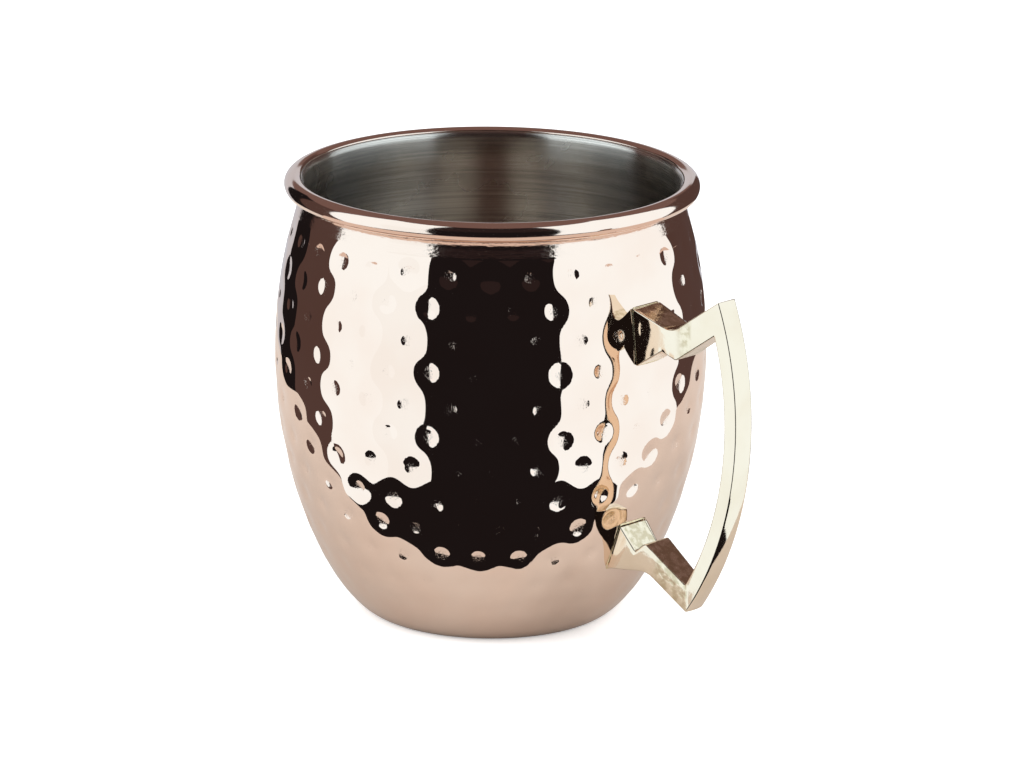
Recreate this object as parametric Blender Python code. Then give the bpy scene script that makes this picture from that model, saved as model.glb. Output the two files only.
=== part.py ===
"""Hammered barrel mug: a copper shell with a rolled rim, a steel liner, and a cast brass handle
brazed on by its two feet.

Units are metres, +Z is up. The origin is the centre of the flat underside, and the handle
points along +X. The handle's middle plane is the XZ plane.
"""

import math

import bmesh
import bpy

MM = 0.001

# Barrel: outside of the copper.
BELLY_RADIUS = 46.5 * MM
BELLY_HEIGHT = 56.5 * MM
BASE_RADIUS = 25.9 * MM
NECK_RADIUS = 41.3 * MM
NECK_HEIGHT = 90.4 * MM
UPPER_FULLNESS = 2.16
LOWER_FULLNESS = 1.91
BASE_ROUNDNESS = 1.46

# Rolled bead at the rim: its centre is outside the neck and above it.
BEAD_RADIUS = 2.1 * MM
BEAD_OUT_FROM_NECK = 1.1 * MM
BEAD_UP_FROM_NECK = 3.6 * MM
CURL_START = math.radians(-122)
LINER_ROLL_END = math.radians(138)

# Sheets.
COPPER_THICKNESS = 0.45 * MM
LINER_THICKNESS = 0.4 * MM
CONTACT_GAP = 0.3 * MM
BRAZE_THICKNESS = 0.4 * MM

# Handle: heights are above the underside, and the grip's tips stand out from the belly.
UPPER_FOOT_HEIGHT = 69.7 * MM
UPPER_FOOT_LENGTH = 12.2 * MM
LOWER_FOOT_HEIGHT = 22.4 * MM
LOWER_FOOT_LENGTH = 10.6 * MM
FOOT_WIDTH = 8.4 * MM
LEG_TAPER_REACH = 24.0 * MM
GRIP_TOP_HEIGHT = 81.2 * MM
GRIP_TOP_OUT_FROM_BELLY = 21.0 * MM
GRIP_BOTTOM_HEIGHT = 12.2 * MM
GRIP_BOTTOM_OUT_FROM_BELLY = 13.6 * MM
GRIP_BOW = 8.9 * MM
GRIP_MIDDLE_THICKNESS = 3.2 * MM
GRIP_END_THICKNESS = 3.9 * MM
GRIP_WIDTH = 5.2 * MM
GRIP_CROWN = 0.2 * MM

# Turns in each leg's outline: valley, notch and hump, each (outwards from the foot's centre,
# towards the grip's tip).
UPPER_LEG_TURNS = ((9.5 * MM, 2.8 * MM), (7.2 * MM, -1.7 * MM), (10.9 * MM, -3.0 * MM))
LOWER_LEG_TURNS = ((8.9 * MM, 3.5 * MM), (5.8 * MM, -0.4 * MM), (8.4 * MM, -2.7 * MM))
VALLEY_FILLET = 5.0 * MM
HUMP_FILLET = 1.0 * MM
NOTCH_FILLET = 0.35 * MM
FOOT_ROOT_DEPTH = 3.0 * MM

# How finely the round shapes are cut into flats.
TURNED_STEPS = 48
LOWER_WALL_STEPS = 12
UPPER_WALL_STEPS = 8
CURL_STEPS = 14
ROLL_STEPS = 4
GRIP_STEPS = 18
FILLET_STEPS = 4
GRIP_LAYERS = 6
TAPER_CUTS = 6
BRAZE_MARGIN = 0.5 * MM

# Places that follow from the sizes above.
BEAD_CENTRE = (NECK_RADIUS + BEAD_OUT_FROM_NECK, NECK_HEIGHT + BEAD_UP_FROM_NECK)
CURL_END = LINER_ROLL_END - CONTACT_GAP / BEAD_RADIUS
GRIP_TOP = (BELLY_RADIUS + GRIP_TOP_OUT_FROM_BELLY, GRIP_TOP_HEIGHT)
GRIP_BOTTOM = (BELLY_RADIUS + GRIP_BOTTOM_OUT_FROM_BELLY, GRIP_BOTTOM_HEIGHT)


def barrel_radius(height):
    """Radius of the outside of the barrel at a height above the underside."""
    if height >= BELLY_HEIGHT:
        share = (height - BELLY_HEIGHT) / (NECK_HEIGHT - BELLY_HEIGHT)
        return BELLY_RADIUS - (BELLY_RADIUS - NECK_RADIUS) * share**UPPER_FULLNESS
    share = (BELLY_HEIGHT - height) / BELLY_HEIGHT
    swell = max(0.0, 1 - share**LOWER_FULLNESS) ** (1 / BASE_ROUNDNESS)
    return BASE_RADIUS + (BELLY_RADIUS - BASE_RADIUS) * swell


def barrel_outline():
    """Outside of the barrel from the edge of the flat base up to the neck, as (radius, height)."""
    heights = [BELLY_HEIGHT * (step / LOWER_WALL_STEPS) ** 1.8 for step in range(LOWER_WALL_STEPS)]
    rise = NECK_HEIGHT - BELLY_HEIGHT
    heights += [BELLY_HEIGHT + rise * step / UPPER_WALL_STEPS for step in range(UPPER_WALL_STEPS + 1)]
    return [(barrel_radius(height), height) for height in heights]


def inset(outline, distance):
    """The outline moved sideways by a distance; positive goes inwards, to the left of its direction."""
    moved = []
    for index, (radius, height) in enumerate(outline):
        before = outline[max(index - 1, 0)]
        after = outline[min(index + 1, len(outline) - 1)]
        run = (after[0] - before[0], after[1] - before[1])
        length = math.hypot(*run)
        moved.append((radius - distance * run[1] / length, height + distance * run[0] / length))
    return moved


def wall_inset(distance):
    """The barrel's outline, with the base at its start, moved inwards through the sheets."""
    moved = inset([(0.0, 0.0)] + barrel_outline(), distance)
    moved[0] = (0.0, distance)
    moved[1] = (moved[1][0], distance)
    return moved


def arc(centre, radius, start, end, steps):
    """Points along an arc, as (radius from the mug's axis, height)."""
    angles = [start + (end - start) * step / steps for step in range(steps + 1)]
    return [(centre[0] + radius * math.cos(a), centre[1] + radius * math.sin(a)) for a in angles]


def metal(name, colour, roughness):
    """A plain metal material."""
    material = bpy.data.materials.new(name)
    material.use_nodes = True
    shader = material.node_tree.nodes["Principled BSDF"]
    shader.inputs["Base Color"].default_value = (*colour, 1.0)
    shader.inputs["Metallic"].default_value = 1.0
    shader.inputs["Roughness"].default_value = roughness
    return material


def new_object(name, mesh_builder, material):
    """A bmesh as a named object, with its faces pointing out."""
    bmesh.ops.remove_doubles(mesh_builder, verts=mesh_builder.verts, dist=0.000001)
    bmesh.ops.recalc_face_normals(mesh_builder, faces=mesh_builder.faces)
    mesh = bpy.data.meshes.new(name)
    mesh_builder.to_mesh(mesh)
    mesh_builder.free()
    mesh.materials.append(material)
    mesh.shade_smooth()
    mesh.set_sharp_from_angle(angle=math.radians(35))
    thing = bpy.data.objects.new(name, mesh)
    bpy.context.scene.collection.objects.link(thing)
    return thing


def turned(name, section, material):
    """A section in the XZ plane turned about the axis. It starts and ends on the axis, or is a ring."""
    builder = bmesh.new()
    points = [builder.verts.new((radius, 0.0, height)) for radius, height in section]
    edges = [builder.edges.new(pair) for pair in zip(points, points[1:])]
    if section[0][0] > 0.0:
        edges.append(builder.edges.new((points[-1], points[0])))
    bmesh.ops.spin(
        builder,
        geom=edges,
        axis=(0, 0, 1),
        cent=(0, 0, 0),
        angle=math.tau,
        steps=TURNED_STEPS,
        use_merge=True,
    )
    return new_object(name, builder, material)


def make_copper_shell(material):
    """Base, wall and rolled bead, one sheet: the bead curls over the top and meets the liner's edge."""
    outside = [(0.0, 0.0)] + barrel_outline()
    outside += arc(BEAD_CENTRE, BEAD_RADIUS, CURL_START, CURL_END, CURL_STEPS)
    inside = wall_inset(COPPER_THICKNESS)
    inside += arc(BEAD_CENTRE, BEAD_RADIUS - COPPER_THICKNESS, CURL_START, CURL_END, CURL_STEPS)
    return turned("copper_shell", outside + inside[::-1], material)


def make_steel_liner(material):
    """Inner cup: it follows the copper at the contact gap, and its edge rolls out to complete the bead."""
    gap = COPPER_THICKNESS + CONTACT_GAP
    outside = wall_inset(gap)
    outside += arc(BEAD_CENTRE, BEAD_RADIUS - LINER_THICKNESS, math.pi, LINER_ROLL_END, ROLL_STEPS)
    inside = wall_inset(gap + LINER_THICKNESS)
    inside += arc(BEAD_CENTRE, BEAD_RADIUS, math.pi, LINER_ROLL_END, ROLL_STEPS)
    return turned("steel_liner", outside + inside[::-1], material)


def foot_corners(foot_height, foot_length, tip_side):
    """The foot's centre on the barrel, and its corners away from and towards the grip's tip."""
    step = 0.1 * MM
    centre = (barrel_radius(foot_height), foot_height)
    slope = (barrel_radius(foot_height + step) - barrel_radius(foot_height - step)) / (2 * step)
    half = foot_length / 2 / math.hypot(1.0, slope)
    away = (centre[0] - tip_side * half * slope, foot_height - tip_side * half)
    towards = (centre[0] + tip_side * half * slope, foot_height + tip_side * half)
    return centre, away, towards


def rounded(corner, before, after, radius):
    """A fillet in place of the outline's corner."""
    to_before = math.atan2(before[1] - corner[1], before[0] - corner[0])
    to_after = math.atan2(after[1] - corner[1], after[0] - corner[0])
    turn = (to_after - to_before + math.pi) % math.tau - math.pi
    half = abs(turn) / 2
    middle = to_before + turn / 2
    centre = (
        corner[0] + radius / math.sin(half) * math.cos(middle),
        corner[1] + radius / math.sin(half) * math.sin(middle),
    )
    sweep = math.pi - abs(turn)
    start = middle + math.pi + math.copysign(sweep / 2, turn)
    return arc(centre, radius, start, start - math.copysign(sweep, turn), FILLET_STEPS)


def grip_circle(depth, bow):
    """Centre and radius of an arc along the grip, from a depth inside the chord between the tips."""
    rise = GRIP_TOP[1] - GRIP_BOTTOM[1]
    lean = GRIP_TOP[0] - GRIP_BOTTOM[0]
    chord = math.hypot(rise, lean)
    radius = (chord**2 / 4 + bow**2) / (2 * bow)
    back = radius - bow + depth
    middle = ((GRIP_TOP[0] + GRIP_BOTTOM[0]) / 2, (GRIP_TOP[1] + GRIP_BOTTOM[1]) / 2)
    return (middle[0] - back * rise / chord, middle[1] + back * lean / chord), radius


def grip_face():
    """The arc of the grip's outer face, through both tips."""
    return grip_circle(0.0, GRIP_BOW)


def grip_inside():
    """The arc of the grip's inner face: the grip is thinner in the middle than at its ends."""
    return grip_circle(GRIP_END_THICKNESS, GRIP_BOW + GRIP_END_THICKNESS - GRIP_MIDDLE_THICKNESS)


def meet_circle(start, direction, centre, radius):
    """Where a line from a start inside the circle leaves it."""
    offset = (start[0] - centre[0], start[1] - centre[1])
    length = math.hypot(*direction)
    unit = (direction[0] / length, direction[1] / length)
    along = offset[0] * unit[0] + offset[1] * unit[1]
    reach = -along + math.sqrt(along**2 - (offset[0] ** 2 + offset[1] ** 2 - radius**2))
    return (start[0] + reach * unit[0], start[1] + reach * unit[1])


def leg_sides(foot_height, foot_length, turns, tip, tip_side):
    """The leg's two sides from foot to grip: the one that ends at the tip, and the one inside."""
    foot, away, towards = foot_corners(foot_height, foot_length, tip_side)
    valley, notch, hump = ((foot[0] + out, foot[1] + tip_side * up) for out, up in turns)
    root_tip_side = (towards[0] - FOOT_ROOT_DEPTH, towards[1])
    root_inside = (away[0] - FOOT_ROOT_DEPTH, away[1])
    direction = (tip[0] - valley[0], tip[1] - valley[1])
    crook = meet_circle(hump, direction, *grip_inside())
    outer = [root_tip_side, towards] + rounded(valley, towards, tip, VALLEY_FILLET) + [tip]
    inner = [root_inside, away]
    inner += rounded(notch, away, hump, NOTCH_FILLET)
    inner += rounded(hump, notch, crook, HUMP_FILLET)
    return outer, inner + [crook]


def grip_arc(circle, start, end):
    """Points along one of the grip's arcs between two points on it."""
    centre, radius = circle
    angles = [math.atan2(point[1] - centre[1], point[0] - centre[0]) for point in (start, end)]
    return arc(centre, radius, *angles, GRIP_STEPS)


def handle_outline():
    """The handle's closed outline in the XZ plane, with its two roots inside the barrel."""
    upper = leg_sides(UPPER_FOOT_HEIGHT, UPPER_FOOT_LENGTH, UPPER_LEG_TURNS, GRIP_TOP, 1)
    lower = leg_sides(LOWER_FOOT_HEIGHT, LOWER_FOOT_LENGTH, LOWER_LEG_TURNS, GRIP_BOTTOM, -1)
    outside = grip_arc(grip_face(), GRIP_TOP, GRIP_BOTTOM)
    inside = grip_arc(grip_inside(), lower[1][-1], upper[1][-1])
    outline = upper[0][:-1] + outside + lower[0][-2::-1]
    return outline + lower[1][:-1] + inside + upper[1][-2::-1]


def half_width(position):
    """Half the handle's width: the legs widen evenly from the grip to the feet."""
    distance = max(position.x - barrel_radius(position.z), 0.0)
    taper = max(1 - distance / LEG_TAPER_REACH, 0.0)
    return (GRIP_WIDTH + (FOOT_WIDTH - GRIP_WIDTH) * taper) / 2


def on_grip_face(position):
    """True on the bowed outer face of the grip."""
    centre, radius = grip_face()
    return abs(math.dist((position.x, position.z), centre) - radius) < 0.01 * MM


def seat_cutter(material):
    """The barrel, larger by the braze and its two gaps: it shapes the faces of the feet."""
    standoff = CONTACT_GAP + BRAZE_THICKNESS + CONTACT_GAP
    wall = wall_inset(-standoff)
    cutter = turned("seat_cutter", wall + [(0.0, wall[-1][1])], material)
    cutter.hide_render = True
    cutter.display_type = "WIRE"
    return cutter


def cut(thing, operation, tool):
    """Booleans one object with another."""
    modifier = thing.modifiers.new(operation.lower(), "BOOLEAN")
    modifier.operation = operation
    modifier.solver = "EXACT"
    modifier.object = tool


def make_handle(material, seat):
    """The casting: a plate with the handle's outline, widened to its feet, with a crowned grip."""
    builder = bmesh.new()
    loops = []
    for layer in range(GRIP_LAYERS + 1):
        side = 2 * layer / GRIP_LAYERS - 1
        loops.append([builder.verts.new((x, side * GRIP_WIDTH / 2, z)) for x, z in handle_outline()])
    for near, far in zip(loops, loops[1:]):
        for index in range(len(near)):
            onward = (index + 1) % len(near)
            builder.faces.new((near[index], near[onward], far[onward], far[index]))
    builder.faces.new(loops[0][::-1])
    builder.faces.new(loops[-1])
    for height in (UPPER_FOOT_HEIGHT, LOWER_FOOT_HEIGHT):
        for step in range(1, TAPER_CUTS + 1):
            place = (barrel_radius(height) + LEG_TAPER_REACH * step / TAPER_CUTS, 0, height)
            everything = builder.verts[:] + builder.edges[:] + builder.faces[:]
            bmesh.ops.bisect_plane(
                builder, geom=everything, dist=0.000001, plane_co=place, plane_no=(1, 0, 0)
            )
    centre, radius = grip_face()
    for vertex in builder.verts:
        side = vertex.co.y / (GRIP_WIDTH / 2)
        if on_grip_face(vertex.co):
            stretch = 1 + GRIP_CROWN * (1 - side**2) / radius
            vertex.co.x = centre[0] + (vertex.co.x - centre[0]) * stretch
            vertex.co.z = centre[1] + (vertex.co.z - centre[1]) * stretch
        vertex.co.y = side * half_width(vertex.co)
    handle = new_object("handle", builder, material)
    cut(handle, "DIFFERENCE", seat)
    return handle


def make_braze(name, foot_height, foot_length, material):
    """The layer of braze between one foot and the barrel, a little larger than the foot."""
    heights = [foot_height + share * foot_length for share in (-0.6, -0.3, 0.0, 0.3, 0.6)]
    wall = [(barrel_radius(height), height) for height in heights]
    inner = inset(wall, -CONTACT_GAP)
    outer = inset(wall, -CONTACT_GAP - BRAZE_THICKNESS)
    layer = turned(name, outer + inner[::-1], material)
    centre, away, towards = foot_corners(foot_height, foot_length, 1)
    builder = bmesh.new()
    bmesh.ops.create_cube(builder, size=1.0)
    height = abs(towards[1] - away[1]) + 2 * BRAZE_MARGIN
    for vertex in builder.verts:
        vertex.co.x = centre[0] + vertex.co.x * foot_length
        vertex.co.y *= FOOT_WIDTH + 2 * BRAZE_MARGIN
        vertex.co.z = foot_height + vertex.co.z * height
    patch = new_object(name + "_patch", builder, material)
    patch.hide_render = True
    patch.display_type = "WIRE"
    cut(layer, "INTERSECT", patch)
    return layer


def build():
    for thing in list(bpy.data.objects):
        bpy.data.objects.remove(thing, do_unlink=True)
    copper = metal("copper", (0.93, 0.72, 0.60), 0.08)
    steel = metal("steel", (0.62, 0.58, 0.54), 0.3)
    brass = metal("brass", (0.88, 0.75, 0.57), 0.08)
    braze = metal("braze", (0.62, 0.42, 0.24), 0.35)
    mug = bpy.data.objects.new("mug", None)
    bpy.context.scene.collection.objects.link(mug)
    pieces = [
        make_copper_shell(copper),
        make_steel_liner(steel),
        make_handle(brass, seat_cutter(brass)),
        make_braze("upper_foot_braze", UPPER_FOOT_HEIGHT, UPPER_FOOT_LENGTH, braze),
        make_braze("lower_foot_braze", LOWER_FOOT_HEIGHT, LOWER_FOOT_LENGTH, braze),
    ]
    for piece in pieces:
        piece.parent = mug


build()
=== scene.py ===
"""Hammered copper mug with a rolled rim, a brushed steel liner and a cast brass handle.

The file follows the mug as it is put together: studio, copper shell, steel liner, handle, brazes.
Sizes are in metres, +Z is up, and the handle is in the XZ plane on the +X side.
"""

import math

import bpy
import numpy as np
from mathutils import Matrix, Vector


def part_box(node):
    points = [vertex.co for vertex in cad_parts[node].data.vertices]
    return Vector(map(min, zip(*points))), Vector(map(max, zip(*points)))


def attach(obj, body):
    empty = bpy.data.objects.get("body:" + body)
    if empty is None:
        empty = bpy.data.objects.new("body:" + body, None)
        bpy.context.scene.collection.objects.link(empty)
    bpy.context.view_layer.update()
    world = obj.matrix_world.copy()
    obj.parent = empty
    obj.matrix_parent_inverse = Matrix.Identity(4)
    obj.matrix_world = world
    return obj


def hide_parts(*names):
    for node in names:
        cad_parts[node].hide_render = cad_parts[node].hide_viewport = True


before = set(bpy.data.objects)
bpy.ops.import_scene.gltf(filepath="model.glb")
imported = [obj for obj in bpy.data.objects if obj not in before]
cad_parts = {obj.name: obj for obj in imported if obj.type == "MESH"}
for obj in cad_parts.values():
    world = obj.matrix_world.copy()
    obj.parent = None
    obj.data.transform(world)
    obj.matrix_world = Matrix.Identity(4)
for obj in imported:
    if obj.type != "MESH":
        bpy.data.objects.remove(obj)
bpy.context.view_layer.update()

# ---------------------------------------------------------------------------------------------
# Studio
# A white sweep, a round white table under the mug, two tall softboxes at its sides and a dark
# room beyond. The room, the softboxes and the table are there for the polished metal to mirror.
# ---------------------------------------------------------------------------------------------
MM = 0.001
VIEW_AZIMUTH = 44.0
VIEW_ELEVATION = 16.3
VIEW_DISTANCE = 1.2
VIEW_ROLL = 0.52
AIM = Vector((0.0, 0.0, 0.047))
ROOM_RADIUS = 3.0
ROOM_SEGMENTS = 120
ROOM_RINGS = 60
TABLE_RADIUS = 172 * MM
TABLE_BACK = 119 * MM
TABLE_ASIDE = 8 * MM
TABLE_LIFT = 0.05 * MM
FLOOR_SIZE = 12.0
# The floor gives a little light of its own, which softens the shadow under the mug.
FLOOR_GLOW = 0.3

def studio_direction(azimuth, elevation):
    """A unit vector: azimuth is in degrees from the camera's side, growing to the camera's right."""
    turn = math.radians(VIEW_AZIMUTH + azimuth)
    rise = math.radians(elevation)
    return Vector((math.sin(turn) * math.cos(rise), -math.cos(turn) * math.cos(rise), math.sin(rise)))


def deselect():
    """Nothing is selected and nothing is active in object mode."""
    if bpy.context.mode != "OBJECT":
        bpy.ops.object.mode_set(mode="OBJECT")
    bpy.ops.object.select_all(action="DESELECT")


def plain_emitter(name, colour, strength):
    """A material that only shines, for the studio's own surfaces."""
    material = bpy.data.materials.new(name)
    material.use_nodes = True
    shader = material.node_tree.nodes["Principled BSDF"]
    shader.inputs["Base Color"].default_value = (0, 0, 0, 1)
    shader.inputs["Specular IOR Level"].default_value = 0.0
    shader.inputs["Emission Color"].default_value = (*colour, 1)
    shader.inputs["Emission Strength"].default_value = strength
    material.cycles.emission_sampling = "NONE"
    return material


def matt(name, colour):
    """A plain matt material without gloss, for the floor and the table."""
    material = bpy.data.materials.new(name)
    material.use_nodes = True
    shader = material.node_tree.nodes["Principled BSDF"]
    shader.inputs["Base Color"].default_value = (*colour, 1)
    shader.inputs["Roughness"].default_value = 0.9
    shader.inputs["Specular IOR Level"].default_value = 0.0
    return material


def only_in_mirrors(thing):
    """The camera doesn't see it and it casts no shadow, but polished metal mirrors it."""
    thing.visible_camera = False
    thing.visible_diffuse = False
    thing.visible_shadow = False
    thing.visible_transmission = False
    thing.visible_volume_scatter = False


deselect()
bpy.ops.mesh.primitive_plane_add(size=FLOOR_SIZE, location=(0, 0, 0))
floor = bpy.context.object
floor.name = "floor"
floor.visible_glossy = False
floor_white = matt("floor_white", (0.93, 0.93, 0.93))
floor_shader = floor_white.node_tree.nodes["Principled BSDF"]
floor_shader.inputs["Emission Color"].default_value = (1, 1, 1, 1)
floor_shader.inputs["Emission Strength"].default_value = FLOOR_GLOW
floor.data.materials.append(floor_white)

table_middle = studio_direction(0, 0) * -TABLE_BACK + studio_direction(90, 0) * TABLE_ASIDE
table_middle.z = TABLE_LIFT
deselect()
bpy.ops.mesh.primitive_circle_add(
    vertices=160,
    radius=TABLE_RADIUS,
    fill_type="NGON",
    location=table_middle,
)
table = bpy.context.object
table.name = "round_table"
table.data.materials.append(matt("table_white", (0.50, 0.46, 0.43)))
only_in_mirrors(table)

# Each surface's colour and strength, then each panel of the room: its azimuths, its elevations
# and which surface it is. The first panel that fits holds, and what is left is ceiling.
ROOM_SURFACES = {
    "dark_room": ((1.0, 0.78, 0.85), 0.0115),
    "dim_room": ((1.0, 0.66, 0.68), 0.024),
    "brown_room": ((1.0, 0.6, 0.54), 0.088),
    "softbox": ((0.82, 0.93, 1.0), 1.275),
    "softbox_edge": ((0.82, 0.92, 0.98), 1.235),
    "white_sweep": ((0.9, 0.92, 1.0), 0.66),
    "ceiling": ((1.0, 0.62, 0.56), 0.175),
}
ROOM_PANELS = (
    (-62, -36, -32, 12, "softbox_edge"),
    (-97, -36, -32, 62, "softbox"),
    (37, 82, -33, 62, "softbox"),
    (82, 117, -38, 62, "softbox"),
    (-36, 37, 17, 62, "dim_room"),
    (-36, 37, -90, 17, "dark_room"),
    (-128, -97, -90, 30, "brown_room"),
    (-150, -128, -90, 30, "dark_room"),
    (117, 165, -90, 30, "brown_room"),
    (-97, 117, -90, -32, "dark_room"),
    (-180, -150, -90, 18, "white_sweep"),
    (165, 180, -90, 18, "white_sweep"),
)
deselect()
bpy.ops.mesh.primitive_uv_sphere_add(
    segments=ROOM_SEGMENTS, ring_count=ROOM_RINGS, radius=ROOM_RADIUS, location=(0, 0, 0)
)
room = bpy.context.object
room.name = "room"
surface_names = list(ROOM_SURFACES)
for surface_name in surface_names:
    room.data.materials.append(plain_emitter(surface_name, *ROOM_SURFACES[surface_name]))
for face in room.data.polygons:
    toward = face.center.normalized()
    elevation = math.degrees(math.asin(toward.z))
    azimuth = math.degrees(math.atan2(toward.x, -toward.y)) - VIEW_AZIMUTH
    azimuth = (azimuth + 180) % 360 - 180
    chosen = "ceiling"
    for left, right, low, high, surface_name in ROOM_PANELS:
        if left <= azimuth <= right and low <= elevation <= high:
            chosen = surface_name
            break
    face.material_index = surface_names.index(chosen)
only_in_mirrors(room)

# Half a ring in front, under the rolled rim, shines up only: the bead's underside mirrors it.
FILL_HEIGHT = 85 * MM
FILL_NEAR = 43.6 * MM
FILL_FAR = 53 * MM
FILL_HALF_ANGLE = 68
deselect()
bpy.ops.mesh.primitive_circle_add(
    vertices=96, radius=FILL_FAR, fill_type="NOTHING", location=(0, 0, FILL_HEIGHT)
)
fill_card = bpy.context.object
fill_card.name = "fill_card"
bpy.ops.object.mode_set(mode="EDIT")
bpy.ops.mesh.select_all(action="SELECT")
bpy.ops.mesh.extrude_edges_move()
bpy.ops.transform.resize(value=(FILL_NEAR / FILL_FAR, FILL_NEAR / FILL_FAR, 1))
bpy.ops.mesh.select_all(action="SELECT")
bpy.ops.mesh.normals_make_consistent(inside=False)
bpy.ops.mesh.select_all(action="DESELECT")
bpy.ops.object.mode_set(mode="OBJECT")
to_camera = studio_direction(0, 0).xy
least_facing = math.cos(math.radians(FILL_HALF_ANGLE))
for face in fill_card.data.polygons:
    face.select = face.center.xy.normalized() @ to_camera < least_facing
bpy.ops.object.mode_set(mode="EDIT")
bpy.ops.mesh.delete(type="FACE")
bpy.ops.object.mode_set(mode="OBJECT")
fill_glow = plain_emitter("fill_glow", (1.0, 0.8, 0.7), 0.74)
fill_nodes = fill_glow.node_tree.nodes
see_through = fill_nodes.new("ShaderNodeBsdfTransparent")
facing = fill_nodes.new("ShaderNodeNewGeometry")
up_only = fill_nodes.new("ShaderNodeMixShader")
fill_glow.node_tree.links.new(facing.outputs["Backfacing"], up_only.inputs["Fac"])
fill_glow.node_tree.links.new(fill_nodes["Principled BSDF"].outputs[0], up_only.inputs[1])
fill_glow.node_tree.links.new(see_through.outputs[0], up_only.inputs[2])
fill_glow.node_tree.links.new(up_only.outputs[0], fill_nodes["Material Output"].inputs["Surface"])
fill_card.data.materials.append(fill_glow)
only_in_mirrors(fill_card)

world = bpy.data.worlds.new("pale_studio")
bpy.context.scene.world = world
world.use_nodes = True
world.node_tree.nodes["Background"].inputs["Color"].default_value = (1, 1, 1, 1)
world.node_tree.nodes["Background"].inputs["Strength"].default_value = 1.0

# The two lamps light only what isn't polished: each has its azimuth and its power in watts.
LAMPS = ((-66, 11.0), (70, 9.0))
LAMP_WIDTH = 0.9
LAMP_HEIGHT = 1.2
LAMP_ELEVATION = 32
LAMP_DISTANCE = 1.1
for azimuth, power in LAMPS:
    light = bpy.data.lights.new("side_softbox", "AREA")
    light.shape = "RECTANGLE"
    light.size = LAMP_WIDTH
    light.size_y = LAMP_HEIGHT
    light.energy = power
    lamp = bpy.data.objects.new("side_softbox", light)
    bpy.context.scene.collection.objects.link(lamp)
    lamp.location = AIM + studio_direction(azimuth, LAMP_ELEVATION) * LAMP_DISTANCE
    lamp.rotation_euler = (AIM - lamp.location).to_track_quat("-Z", "Y").to_euler()
    lamp.visible_glossy = False
    lamp.visible_camera = False

camera = bpy.data.objects.new("camera", bpy.data.cameras.new("camera"))
bpy.context.scene.collection.objects.link(camera)
bpy.context.scene.camera = camera
camera.data.lens = 195.2
camera.data.sensor_width = 36.0
camera.data.shift_x = 0.0212
camera.data.shift_y = 0.0094
camera.data.clip_end = 20.0
camera.location = AIM + studio_direction(0, VIEW_ELEVATION) * VIEW_DISTANCE
aimed = (AIM - camera.location).to_track_quat("-Z", "Y").to_matrix().to_4x4()
aimed = aimed @ Matrix.Rotation(math.radians(VIEW_ROLL), 4, "Z")
camera.rotation_euler = aimed.to_euler()
bpy.context.scene.view_settings.view_transform = "Standard"

# ---------------------------------------------------------------------------------------------
# Copper shell
# One spun sheet of copper, polished like a mirror. Its wall is hammered all over with staggered
# rows of small round dents, and its edge is rolled outwards into a bead and down inside the rim.
# ---------------------------------------------------------------------------------------------
shell_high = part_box("copper_shell")[1]
BELLY_RADIUS = shell_high.y
BEAD_TOP = shell_high.z
BELLY_HEIGHT = 56.5 * MM
BASE_RADIUS = 25.9 * MM
NECK_RADIUS = 41.3 * MM
NECK_HEIGHT = 90.4 * MM
UPPER_FULLNESS = 2.16
LOWER_FULLNESS = 1.91
BASE_ROUNDNESS = 1.46
BEAD_RADIUS = 2.1 * MM
BEAD_CENTRE = (42.4 * MM, BEAD_TOP - BEAD_RADIUS)
BEAD_START = math.radians(-122)
BEAD_END = math.radians(137)
COPPER_THICKNESS = 0.45 * MM
SHELL_STEPS = 512
WALL_ROWS = 148
BEAD_ROWS = 22
DENTS_AROUND = 31
DENT_ROWS = 13
DENT_TOP = 84.5 * MM
DENT_PITCH = 7.0 * MM
DENT_RADIUS = 1.95 * MM
DENT_DEPTH = 0.19 * MM
HALO_RADIUS = 4.7 * MM
HALO_DEPTH = 0.17 * MM
DENT_JITTER = 0.55 * MM
DENT_TURN = math.radians(-46.2)
DENT_DRIFT = math.radians(0.35)
DENT_SEED = 29
# Each row from the lowest up is this much deeper than the one under it, up to full depth.
DENT_FADE = 0.22
# The hammer kept clear of the feet: their heights, and how far off the dents' middles stay.
FOOT_HEIGHTS = {"upper": 69.7 * MM, "lower": 22.4 * MM}
CLEAR_OF_FEET = {"upper": 8.5 * MM, "lower": 7.7 * MM}
CLEAR_BESIDE_FEET = 6.2 * MM


def barrel_radius(height):
    """Radius of the barrel's outside at a height."""
    if height >= BELLY_HEIGHT:
        share = (height - BELLY_HEIGHT) / (NECK_HEIGHT - BELLY_HEIGHT)
        return BELLY_RADIUS - (BELLY_RADIUS - NECK_RADIUS) * share**UPPER_FULLNESS
    share = (BELLY_HEIGHT - height) / BELLY_HEIGHT
    swell = max(0.0, 1 - share**LOWER_FULLNESS) ** (1 / BASE_ROUNDNESS)
    return BASE_RADIUS + (BELLY_RADIUS - BASE_RADIUS) * swell


def evenly(points, count):
    """The same line, cut into equal lengths."""
    points = np.array(points, float)
    lengths = np.hypot(*np.diff(points, axis=0).T)
    along = np.concatenate([[0.0], np.cumsum(lengths)])
    wanted = np.linspace(0.0, along[-1], count + 1)
    return np.stack([np.interp(wanted, along, points[:, 0]), np.interp(wanted, along, points[:, 1])], 1)


def inwards(points, distance):
    """A wall's line moved square to itself towards the inside of the mug."""
    points = np.array(points, float)
    run = np.gradient(points, axis=0)
    run /= np.hypot(*run.T)[:, None]
    return points + distance * np.stack([-run[:, 1], run[:, 0]], 1)


def arc(centre, radius, start, end, steps):
    """Points along an arc."""
    turns = np.linspace(start, end, steps + 1)
    return np.stack([centre[0] + radius * np.cos(turns), centre[1] + radius * np.sin(turns)], 1)


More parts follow.
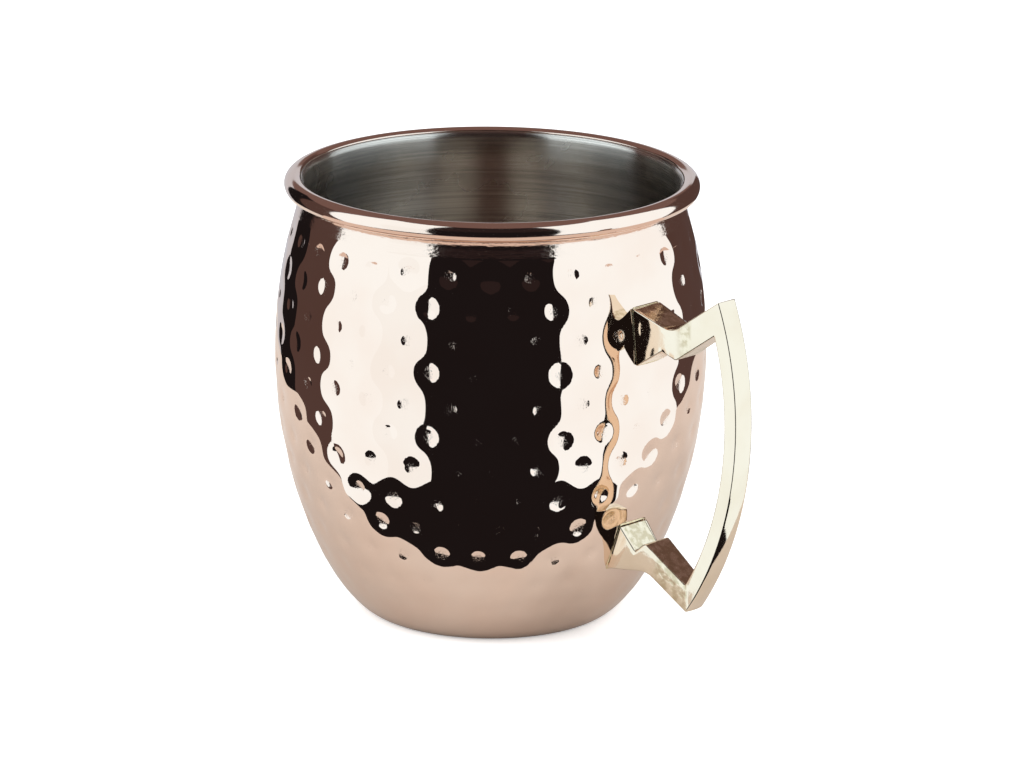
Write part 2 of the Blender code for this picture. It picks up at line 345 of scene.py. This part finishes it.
def turned(name, section, steps):
    """A closed piece of sheet, drawn as a chain of extruded points and spun round the mug's axis."""
    deselect()
    bpy.ops.mesh.primitive_plane_add(size=MM, location=(section[0][0], 0.0, section[0][1]))
    piece = bpy.context.object
    piece.name = name
    bpy.ops.object.mode_set(mode="EDIT")
    bpy.ops.mesh.select_all(action="SELECT")
    bpy.ops.mesh.merge(type="CENTER")
    for here, there in zip(section, section[1:]):
        step = (there[0] - here[0], 0.0, there[1] - here[1])
        bpy.ops.mesh.extrude_vertices_move(TRANSFORM_OT_translate={"value": step})
    bpy.ops.mesh.select_all(action="SELECT")
    bpy.ops.mesh.spin(steps=steps, angle=math.tau, center=(0, 0, 0), axis=(0, 0, 1))
    bpy.ops.mesh.select_all(action="SELECT")
    bpy.ops.mesh.remove_doubles(threshold=0.002 * MM)
    bpy.ops.mesh.normals_make_consistent(inside=False)
    bpy.ops.object.mode_set(mode="OBJECT")
    bpy.ops.object.transform_apply(location=True, rotation=True, scale=True)
    bpy.ops.object.shade_smooth()
    return piece


fine_heights = BELLY_HEIGHT * np.linspace(0, 1, 3000) ** 2.2
fine_heights = np.concatenate([fine_heights, np.linspace(BELLY_HEIGHT, NECK_HEIGHT, 1500)[1:]])
fine_wall = [(barrel_radius(height), height) for height in fine_heights]
outer_wall = evenly(fine_wall, WALL_ROWS)
inner_wall = inwards(evenly(fine_wall, 12), COPPER_THICKNESS)
inner_wall[0] = (inner_wall[0][0], COPPER_THICKNESS)
bead_outside = arc(BEAD_CENTRE, BEAD_RADIUS, BEAD_START, BEAD_END, BEAD_ROWS)
bead_inside = arc(BEAD_CENTRE, BEAD_RADIUS - COPPER_THICKNESS, BEAD_START, BEAD_END, 8)
section = [(0.0, 0.0), (0.5 * BASE_RADIUS, 0.0), *outer_wall, *bead_outside]
section += [*bead_inside[::-1], *inner_wall[::-1], (0.0, COPPER_THICKNESS)]
copper = turned("hammered_shell", section, SHELL_STEPS)

# The hammer's marks: a bowl where the ball struck, in a shallow hollow that its blow drew in.
points = np.array([vertex.co for vertex in copper.data.vertices], float)
radii = np.hypot(points[:, 0], points[:, 1])
turns = np.arctan2(points[:, 1], points[:, 0])
fine_wall = np.array(fine_wall)
fine_along = np.concatenate([[0.0], np.cumsum(np.hypot(*np.diff(fine_wall, axis=0).T))])
along = np.interp(points[:, 2], fine_wall[:, 1], fine_along)
wall_radii = np.interp(points[:, 2], fine_wall[:, 1], fine_wall[:, 0])
on_wall = (np.abs(radii - wall_radii) < 0.05 * MM) & (points[:, 2] < NECK_HEIGHT) & (points[:, 2] > 1 * MM)
depth = np.zeros(len(points))
chance = np.random.default_rng(DENT_SEED)
top_along = np.interp(DENT_TOP, fine_wall[:, 1], fine_along)
nearest = np.full(len(points), 1.0)
for row in range(DENT_ROWS):
    for place in range(DENTS_AROUND):
        shift = chance.uniform(-1, 1, 2) * DENT_JITTER
        size = chance.uniform(0.9, 1.08)
        dent_along = top_along - row * DENT_PITCH + shift[0]
        dent_height = np.interp(dent_along, fine_along, fine_wall[:, 1])
        dent_radius = barrel_radius(dent_height)
        dent_turn = DENT_TURN + DENT_DRIFT * row + math.tau * (place + 0.5 * (row % 2)) / DENTS_AROUND
        dent_turn += shift[1] / dent_radius
        off_middle = (dent_turn + math.pi) % math.tau - math.pi
        beside = abs(off_middle) * dent_radius
        if beside < CLEAR_BESIDE_FEET and any(
            abs(dent_height - FOOT_HEIGHTS[which]) < CLEAR_OF_FEET[which] for which in FOOT_HEIGHTS
        ):
            continue
        fade = min(1.0, DENT_FADE * (DENT_ROWS - row))
        around = ((turns - dent_turn + math.pi) % math.tau - math.pi) * dent_radius
        distance = np.hypot(around, along - dent_along)
        bowl = np.clip(1 - (distance / (DENT_RADIUS * size)) ** 2, 0, None)
        halo = np.clip(1 - (distance / HALO_RADIUS) ** 2, 0, None) ** 2
        depth += fade * (DENT_DEPTH * size * bowl + HALO_DEPTH * halo)
        nearest = np.minimum(nearest, distance / (DENT_RADIUS * size))
slope = np.interp(points[:, 2], fine_wall[:, 1], np.gradient(fine_wall[:, 0], fine_wall[:, 1]))
lean = np.stack([np.cos(turns), np.sin(turns), -slope], 1) / np.sqrt(1 + slope**2)[:, None]
points -= lean * (depth * on_wall)[:, None]
copper.data.vertices.foreach_set("co", points.ravel())
copper.data.update()
# How far each point is from the nearest dent's middle, as a share of the bowl's radius.
dent_share = copper.data.attributes.new("dent_share", "FLOAT", "POINT")
dent_share.data.foreach_set("value", np.where(on_wall, nearest, 3.0).clip(0, 3).astype(np.float32))
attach(copper, "root")
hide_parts("copper_shell")


def plug(socket, value):
    """Sets a socket to a number, a colour or a vector, or links a wire to it."""
    if isinstance(value, Wire):
        socket.id_data.links.new(value.socket, socket)
    elif isinstance(value, tuple) and socket.type == "RGBA":
        socket.default_value = (*value, 1.0) if len(value) == 3 else value
    else:
        socket.default_value = value


class Wire:
    """A shader socket that takes part in Python expressions."""

    def __init__(self, socket):
        self.socket = socket

    def maths(self, operation, *terms):
        node = self.socket.id_data.nodes.new("ShaderNodeMath")
        node.operation = operation
        for socket, term in zip(node.inputs, terms):
            plug(socket, term)
        return Wire(node.outputs[0])

    def __add__(self, other):
        return self.maths("ADD", self, other)

    def __mul__(self, other):
        return self.maths("MULTIPLY", self, other)

    def __radd__(self, other):
        return self.maths("ADD", other, self)

    def __rsub__(self, other):
        return self.maths("SUBTRACT", other, self)

    def __rmul__(self, other):
        return self.maths("MULTIPLY", other, self)

    def __pow__(self, other):
        return self.maths("POWER", self, other)

    def between(self, low, high):
        """0 below low, 1 above high, smooth between."""
        node = self.socket.id_data.nodes.new("ShaderNodeMapRange")
        node.interpolation_type = "SMOOTHSTEP"
        plug(node.inputs["Value"], self)
        plug(node.inputs["From Min"], low)
        plug(node.inputs["From Max"], high)
        return Wire(node.outputs["Result"])


class Finish:
    """A metal's material: a Principled shader and the nodes that feed it."""

    def __init__(self, name, colour, roughness):
        self.material = bpy.data.materials.new(name)
        self.material.use_nodes = True
        self.nodes = self.material.node_tree.nodes
        self.shader = self.nodes["Principled BSDF"]
        self.feed("Base Color", colour)
        self.feed("Metallic", 1.0)
        self.feed("Roughness", roughness)
        self.place = self.node("ShaderNodeTexCoord", {}, "Object")

    def feed(self, socket, value):
        plug(self.shader.inputs[socket], value)

    def node(self, kind, settings, output, **sockets):
        """One node: its settings first, then its sockets, and the output that is wanted."""
        node = self.nodes.new(kind)
        for name, value in settings.items():
            setattr(node, name, value)
        for name, value in sockets.items():
            plug(node.inputs[name.replace("_", " ")], value)
        return Wire(node.outputs[output])

    def stretched(self, x, y, z):
        """The object's own coordinates, scaled."""
        return self.node("ShaderNodeMapping", {}, "Vector", Vector=self.place, Scale=(x, y, z))

    def axis(self, letter):
        """One of the object's own coordinates."""
        return self.node("ShaderNodeSeparateXYZ", {}, letter, Vector=self.place)

    def ringed(self, around, across):
        """Coordinates that stretch a pattern into rings round the mug's axis."""
        x, y, z = (self.axis(letter) for letter in "XYZ")
        out = (x * x + y * y) ** 0.5
        return self.node(
            "ShaderNodeCombineXYZ", {}, "Vector", X=x * around, Y=y * around, Z=(z + 0.7 * out) * across
        )

    def noise(self, vector, detail):
        return self.node("ShaderNodeTexNoise", {}, "Fac", Vector=vector, Scale=1.0, Detail=detail)

    def blend(self, share, first, second):
        """A colour between two."""
        node = self.nodes.new("ShaderNodeMix")
        node.data_type = "RGBA"
        plug(node.inputs[0], share)
        plug(node.inputs[6], first)
        plug(node.inputs[7], second)
        return Wire(node.outputs[2])

    def bump(self, height, distance, strength=1.0):
        normal = self.node(
            "ShaderNodeBump", {}, "Normal", Height=height, Distance=distance, Strength=strength
        )
        self.feed("Normal", normal)


polished_copper = Finish("polished_copper", (0.93, 0.75, 0.64), 0.03)
cloud = polished_copper.noise(polished_copper.stretched(60, 60, 60), 3.0)
height = polished_copper.axis("Z")
# Specks where the hammer's face left the bowls coarse, scuffs under the rim that the polishing
# wheel couldn't reach, and the lines that the bead was polished along.
specks = polished_copper.noise(polished_copper.stretched(3600, 3600, 3600), 1.0)
rim_lines = polished_copper.noise(polished_copper.ringed(40, 6500), 3.0)
scuffs = polished_copper.noise(polished_copper.ringed(700, 3600), 2.0)
patchy = polished_copper.noise(polished_copper.stretched(160, 160, 160), 1.0)
bowl = polished_copper.node("ShaderNodeAttribute", {"attribute_name": "dent_share"}, "Fac")
in_bowl = (1 - bowl.between(0.5, 0.85)) * patchy.between(0.35, 0.6)
under_rim = height.between(87.9 * MM, 88.3 * MM) * (1 - height.between(91.6 * MM, 92.2 * MM))
on_bead = height.between(92.2 * MM, 93.0 * MM)
pale, deep = (0.935, 0.765, 0.655), (0.915, 0.725, 0.61)
polished_copper.feed("Base Color", polished_copper.blend(cloud.between(0.35, 0.7), pale, deep))
polished_copper.feed("Roughness", 0.02 + 0.03 * in_bowl + 0.07 * under_rim + 0.06 * on_bead)
relief = 0.2 * in_bowl * specks.between(0.52, 0.72) + 0.9 * under_rim * scuffs + 0.06 * on_bead * rim_lines
polished_copper.bump(relief, 0.06 * MM)
copper.data.materials.append(polished_copper.material)

# ---------------------------------------------------------------------------------------------
# Steel liner
# The inner cup, pressed from stainless steel and brushed round the axis as it turned. Its top
# edge rolls outwards and meets the edge of the copper's bead.
# ---------------------------------------------------------------------------------------------
LINER_GAP = 0.3 * MM
LINER_THICKNESS = 0.4 * MM
LINER_ROLL_END = math.radians(138)
LINER_ROWS = 60
LINER_STEPS = 256


def liner_skin(deep, rows, roll_radius):
    """One face of the liner, from the floor's middle up to the edge that rolls out and meets the bead."""
    wall = inwards(evenly(fine_wall, rows), deep)
    wall[0] = (wall[0][0], deep)
    roll = arc(BEAD_CENTRE, roll_radius, math.pi, LINER_ROLL_END, 8)
    return [(0.0, deep), (0.5 * wall[0][0], deep), *wall, *roll]


outside = liner_skin(COPPER_THICKNESS + LINER_GAP, 16, BEAD_RADIUS - LINER_THICKNESS)
inside = liner_skin(COPPER_THICKNESS + LINER_GAP + LINER_THICKNESS, LINER_ROWS, BEAD_RADIUS)
liner = turned("brushed_liner", outside + inside[::-1], LINER_STEPS)
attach(liner, "root")
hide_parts("steel_liner")

brushed = Finish("brushed_steel", (0.76, 0.71, 0.65), 0.26)
brushed.feed("Anisotropic", 1.0)
brushed.feed("Anisotropic Rotation", 0.25)
fine_brushing = brushed.noise(brushed.ringed(26, 4200), 3.0)
coarse_brushing = brushed.noise(brushed.ringed(14, 900), 3.0)
mottle = brushed.noise(brushed.stretched(60, 60, 60), 3.0)
brushing = 0.6 * fine_brushing + 0.4 * coarse_brushing
shade = 0.85 * brushing.between(0.36, 0.66) + 0.15 * mottle.between(0.3, 0.7)
brushed.feed("Base Color", brushed.blend(shade, (0.60, 0.56, 0.51), (0.96, 0.90, 0.82)))
brushed.feed("Roughness", 0.24 + 0.04 * mottle.between(0.3, 0.7))
brushed.bump(brushing, 0.02 * MM)
liner.data.materials.append(brushed.material)

# ---------------------------------------------------------------------------------------------
# Handle
# One brass casting, ground flat on its sides, with a crowned grip and crisp eased arrises. Its
# legs widen evenly towards the barrel, and their feet follow it.
# ---------------------------------------------------------------------------------------------
FEET = {
    "upper": {"height": FOOT_HEIGHTS["upper"], "length": 12.2 * MM, "side": 1},
    "lower": {"height": FOOT_HEIGHTS["lower"], "length": 10.6 * MM, "side": -1},
}
TIPS = {
    "upper": (BELLY_RADIUS + 21.0 * MM, 81.2 * MM),
    "lower": (BELLY_RADIUS + 13.6 * MM, 12.2 * MM),
}
# Turns in each leg's outline from its foot: valley, notch and hump, as (outwards, towards the tip).
LEG_TURNS = {
    "upper": ((9.5 * MM, 2.8 * MM), (7.2 * MM, -1.7 * MM), (10.9 * MM, -3.0 * MM)),
    "lower": ((8.9 * MM, 3.5 * MM), (5.8 * MM, -0.4 * MM), (8.4 * MM, -2.7 * MM)),
}
VALLEY_FILLET = 5.0 * MM
HUMP_FILLET = 0.9 * MM
NOTCH_FILLET = 0.35 * MM
FOOT_WIDTH = 8.4 * MM
LEG_TAPER_REACH = 24.0 * MM
GRIP_WIDTH = 5.2 * MM
GRIP_BOW = 8.9 * MM
GRIP_MIDDLE_THICKNESS = 3.2 * MM
GRIP_END_THICKNESS = 3.9 * MM
GRIP_CROWN = 0.2 * MM
ARRIS = 0.24 * MM
ROOT_DEPTH = 0.43 * MM
CELLS_ACROSS = 4
CELLS_WIDE = 10
LEG_CELLS = 56
GRIP_CELLS = 90


def grip_circle(deep, bow):
    """Centre and radius of an arc along the grip, from a depth inside the chord between the tips."""
    top, bottom = Vector(TIPS["upper"]), Vector(TIPS["lower"])
    chord = (top - bottom).length
    radius = (chord**2 / 4 + bow**2) / (2 * bow)
    outwards = Vector(((top - bottom).y, -(top - bottom).x)) / chord
    return (top + bottom) / 2 - outwards * (radius - bow + deep), radius


def meet_circle(start, direction, centre, radius):
    """Where a line from a start inside the circle leaves it."""
    direction = direction.normalized()
    offset = start - centre
    reach = math.sqrt((offset @ direction) ** 2 - offset @ offset + radius**2) - offset @ direction
    return start + direction * reach


def filleted(corner, before, after, radius):
    """An arc in place of a corner of an outline."""
    to_before = math.atan2(*(before - corner).yx)
    to_after = math.atan2(*(after - corner).yx)
    turn = (to_after - to_before + math.pi) % math.tau - math.pi
    middle = to_before + turn / 2
    centre = corner + Vector((math.cos(middle), math.sin(middle))) * radius / math.sin(abs(turn) / 2)
    sweep = math.pi - abs(turn)
    start = middle + math.pi + math.copysign(sweep / 2, turn)
    end = start - math.copysign(sweep, turn)
    steps = 8 if radius > 2 * MM else 5
    return [Vector(point) for point in arc(centre, radius, start, end, steps)]


def leg_lines(which):
    """The leg's two sides from barrel to grip: the one that ends at the tip, and the one inside."""
    side, height, length = (FEET[which][key] for key in ("side", "height", "length"))
    foot = Vector((barrel_radius(height), height))
    slope = (barrel_radius(height + 0.1 * MM) - barrel_radius(height - 0.1 * MM)) / (0.2 * MM)
    half = Vector((slope, 1.0)).normalized() * (side * length / 2)
    valley, notch, hump = (foot + Vector((out, side * up)) for out, up in LEG_TURNS[which])
    tip = Vector(TIPS[which])
    inside_grip = grip_circle(GRIP_END_THICKNESS, GRIP_BOW + GRIP_END_THICKNESS - GRIP_MIDDLE_THICKNESS)
    crook = meet_circle(hump, tip - valley, *inside_grip)
    outer = [foot + half, *filleted(valley, foot + half, tip, VALLEY_FILLET), tip]
    inner = [foot - half, *filleted(notch, foot - half, hump, NOTCH_FILLET)]
    return outer, [*inner, *filleted(hump, notch, crook, HUMP_FILLET), crook]


def paired(first, second, cells):
    """Two lines cut at the same shares of their lengths, with every corner of both kept."""
    lines = [np.array([tuple(point) for point in line]) for line in (first, second)]
    shares = []
    for line in lines:
        lengths = np.concatenate([[0.0], np.cumsum(np.hypot(*np.diff(line, axis=0).T))])
        shares.append(lengths / lengths[-1])
    wanted = np.unique(np.concatenate([np.round(share, 5) for share in shares]))
    for share in np.linspace(0, 1, cells + 1):
        if np.abs(wanted - share).min() > 0.4 / cells:
            wanted = np.sort(np.append(wanted, share))
    cut = []
    for line, share in zip(lines, shares):
        cut.append(np.stack([np.interp(wanted, share, line[:, axis]) for axis in (0, 1)], 1))
    return cut


def grip_lines():
    """The grip's outer and inner faces, from its upper end to its lower."""
    outer_centre, outer_radius = grip_circle(0.0, GRIP_BOW)
    inner_bow = GRIP_BOW + GRIP_END_THICKNESS - GRIP_MIDDLE_THICKNESS
    inner_centre, inner_radius = grip_circle(GRIP_END_THICKNESS, inner_bow)
    lines = []
    ends = {"upper": leg_lines("upper"), "lower": leg_lines("lower")}
    for index, (centre, radius) in enumerate(((outer_centre, outer_radius), (inner_centre, inner_radius))):
        turns = [math.atan2(*(ends[which][index][-1] - centre).yx) for which in ("upper", "lower")]
        lines.append(arc(centre, radius, *turns, GRIP_CELLS))
    return lines


upper_outer, upper_inner = paired(*leg_lines("upper"), LEG_CELLS)
lower_outer, lower_inner = paired(*leg_lines("lower"), LEG_CELLS)
grip_outer, grip_inner = grip_lines()
outer_line = np.concatenate([upper_outer, grip_outer[1:], lower_outer[::-1][1:]])
inner_line = np.concatenate([upper_inner, grip_inner[1:], lower_inner[::-1][1:]])
stations = len(outer_line)

deselect()
bpy.ops.mesh.primitive_grid_add(
    x_subdivisions=CELLS_ACROSS, y_subdivisions=stations - 1, size=1.0, location=(0, 0, 0)
)
handle = bpy.context.object
handle.name = "cast_handle"
for vertex in handle.data.vertices:
    station = round((vertex.co.y + 0.5) * (stations - 1))
    share = vertex.co.x + 0.5
    x, z = outer_line[station] * (1 - share) + inner_line[station] * share
    vertex.co = (x, -0.5, z)
bpy.ops.object.mode_set(mode="EDIT")
bpy.ops.mesh.select_all(action="SELECT")
for layer in range(CELLS_WIDE):
    bpy.ops.mesh.extrude_region_move(TRANSFORM_OT_translate={"value": (0, 1 / CELLS_WIDE, 0)})
bpy.ops.mesh.select_all(action="SELECT")
bpy.ops.mesh.normals_make_consistent(inside=False)
bpy.ops.object.mode_set(mode="OBJECT")
crown_centre, crown_radius = grip_circle(0.0, GRIP_BOW)
for vertex in handle.data.vertices:
    x, side, z = vertex.co
    side *= 2
    flat = Vector((x, z))
    if abs((flat - crown_centre).length - crown_radius) < 0.01 * MM:
        flat = crown_centre + (flat - crown_centre) * (1 + GRIP_CROWN * (1 - side**2) / crown_radius)
    distance = max(flat.x - barrel_radius(flat.y), 0.0)
    taper = max(1 - distance / LEG_TAPER_REACH, 0.0)
    width = GRIP_WIDTH + (FOOT_WIDTH - GRIP_WIDTH) * taper
    y = side * width / 2
    if distance < 0.01 * MM:
        flat.x = math.sqrt((barrel_radius(flat.y) - ROOT_DEPTH) ** 2 - y**2)
    vertex.co = (flat.x, y, flat.y)
deselect()
handle.select_set(True)
bpy.context.view_layer.objects.active = handle
easing = handle.modifiers.new("eased_arrises", "BEVEL")
easing.width = ARRIS
easing.segments = 3
easing.limit_method = "ANGLE"
easing.angle_limit = math.radians(40)
bpy.ops.object.modifier_apply(modifier=easing.name)
bpy.ops.object.shade_smooth()
flats = handle.modifiers.new("flat_faces", "WEIGHTED_NORMAL")
flats.weight = 80
bpy.ops.object.modifier_apply(modifier=flats.name)
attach(handle, "root")
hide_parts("handle")

brass = Finish("polished_brass", (0.875, 0.745, 0.59), 0.05)
wear = brass.noise(brass.stretched(90, 90, 90), 4.0)
polishing = brass.noise(brass.stretched(1800, 300, 1800), 3.0)
cast_skin = brass.noise(brass.stretched(620, 620, 620), 4.0)
# The sides and the grip were ground and polished. Between the legs' sides the cast skin is left.
off_middle = brass.axis("Y") * brass.axis("Y")
between_sides = 1 - off_middle.between((3.3 * MM) ** 2, (3.5 * MM) ** 2)
unground = between_sides * (1 - brass.axis("X").between(60 * MM, 61 * MM))
polished = brass.blend(wear.between(0.35, 0.7), (0.89, 0.765, 0.61), (0.85, 0.715, 0.55))
skin = brass.blend(cast_skin.between(0.4, 0.62), (0.64, 0.53, 0.36), (0.87, 0.75, 0.57))
brass.feed("Base Color", brass.blend(unground, polished, skin))
brass.feed("Roughness", 0.05 + 0.04 * polishing.between(0.45, 0.75) + 0.10 * unground * cast_skin)
brass.bump(0.06 * polishing + 0.12 * cast_skin + 0.8 * unground * cast_skin, 0.06 * MM)
handle.data.materials.append(brass.material)

# ---------------------------------------------------------------------------------------------
# Brazes
# A thin fillet of braze metal all round each foot, drawn into the corner between foot and barrel
# and buffed with the handle.
# ---------------------------------------------------------------------------------------------
FILLET_REACH = 0.3 * MM
FILLET_RISE = 0.25 * MM
FILLET_SEGMENTS = 20
FOOT_SQUARENESS = 14
# The fillet's outline, as shares of its reach over the barrel and of its rise on the foot.
FILLET_PROFILE = ((1.0, -0.6), (0.45, 0.22), (0.12, 0.5), (-0.1, 1.0), (-0.6, 0.6), (-0.5, -0.6))


def foot_fillet(name, which):
    """A closed ring of fillet round a foot, from the barrel up on to the foot's side."""
    height, length = FEET[which]["height"], FEET[which]["length"]
    deselect()
    bpy.ops.mesh.primitive_torus_add(
        major_segments=4 * FILLET_SEGMENTS, minor_segments=6, major_radius=1.0, minor_radius=0.1
    )
    ring = bpy.context.object
    ring.name = name
    for vertex in ring.data.vertices:
        turn = math.atan2(vertex.co.y, vertex.co.x)
        tube = math.atan2(vertex.co.z, math.hypot(vertex.co.x, vertex.co.y) - 1.0)
        reach, rise = FILLET_PROFILE[round(tube / math.tau * 6) % 6]
        soft = abs(math.cos(turn)) ** FOOT_SQUARENESS + abs(math.sin(turn)) ** FOOT_SQUARENESS
        soft **= -1 / FOOT_SQUARENESS
        y = math.cos(turn) * soft * FOOT_WIDTH / 2 + math.cos(turn) * reach * FILLET_REACH
        up = math.sin(turn) * soft * length / 2 + math.sin(turn) * reach * FILLET_REACH
        z = height + up
        x = math.sqrt(barrel_radius(z) ** 2 - y**2) + rise * FILLET_RISE
        vertex.co = (x, y, z)
    bpy.ops.object.mode_set(mode="EDIT")
    bpy.ops.mesh.select_all(action="SELECT")
    bpy.ops.mesh.normals_make_consistent(inside=False)
    bpy.ops.object.mode_set(mode="OBJECT")
    bpy.ops.object.shade_smooth()
    return ring


buffed_braze = Finish("buffed_braze", (0.85, 0.72, 0.46), 0.14)
grain = buffed_braze.noise(buffed_braze.stretched(900, 900, 900), 4.0)
buffed_braze.feed("Roughness", 0.1 + 0.15 * grain)
buffed_braze.feed(
    "Base Color", buffed_braze.blend(grain.between(0.3, 0.7), (0.88, 0.76, 0.5), (0.74, 0.56, 0.34))
)
buffed_braze.bump(grain, 0.02 * MM, 0.7)
for which in ("upper", "lower"):
    fillet = foot_fillet(which + "_foot_fillet", which)
    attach(fillet, "root")
    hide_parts(which + "_foot_braze")
    fillet.data.materials.append(buffed_braze.material)
